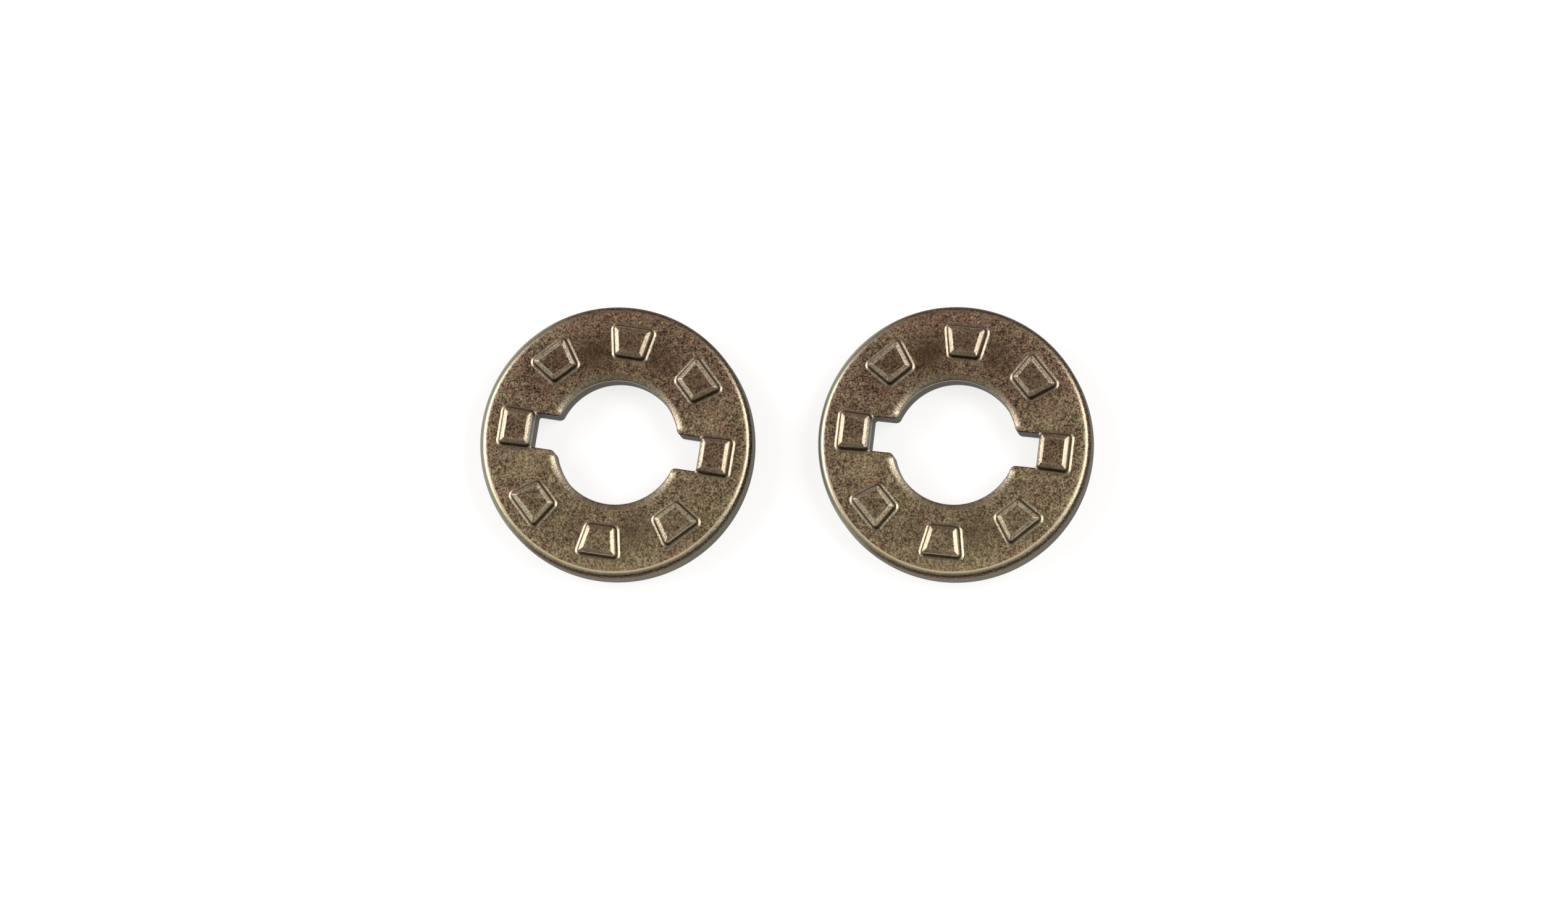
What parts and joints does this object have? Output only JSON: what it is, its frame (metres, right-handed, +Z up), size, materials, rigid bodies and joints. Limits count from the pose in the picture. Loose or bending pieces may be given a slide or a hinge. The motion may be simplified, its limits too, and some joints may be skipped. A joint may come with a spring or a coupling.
{
  "type": "clutch ring pair",
  "caption": "Loose bronze-coloured sintered clutch rings with raised drive pads on one face, a round bore and opposite keyways, lying flat side by side",
  "frame": {"origin": "midway between the two rings' centres, on the plane that both rings rest on", "axes": "+X runs from the left ring's centre to the right ring's, +Z points up through the bores towards the side with the pads, and +Y completes the right-handed frame"},
  "size_m": [0.0984, 0.044, 0.008],
  "materials": {
    "sintered_metal": "fine-grained pressed metal with a warm bronze-brown sheen and brighter edges"
  },
  "bodies": {
    "left_ring": {"clutch_ring_left": "sintered_metal"},
    "right_ring": {"clutch_ring_right": "sintered_metal"}
  },
  "joints": [
    {"name": "right_ring_lift", "type": "slide", "parent": "left_ring", "child": "right_ring", "axis": [0, 0, 1], "range_m": [0, 0.05]}
  ]
}
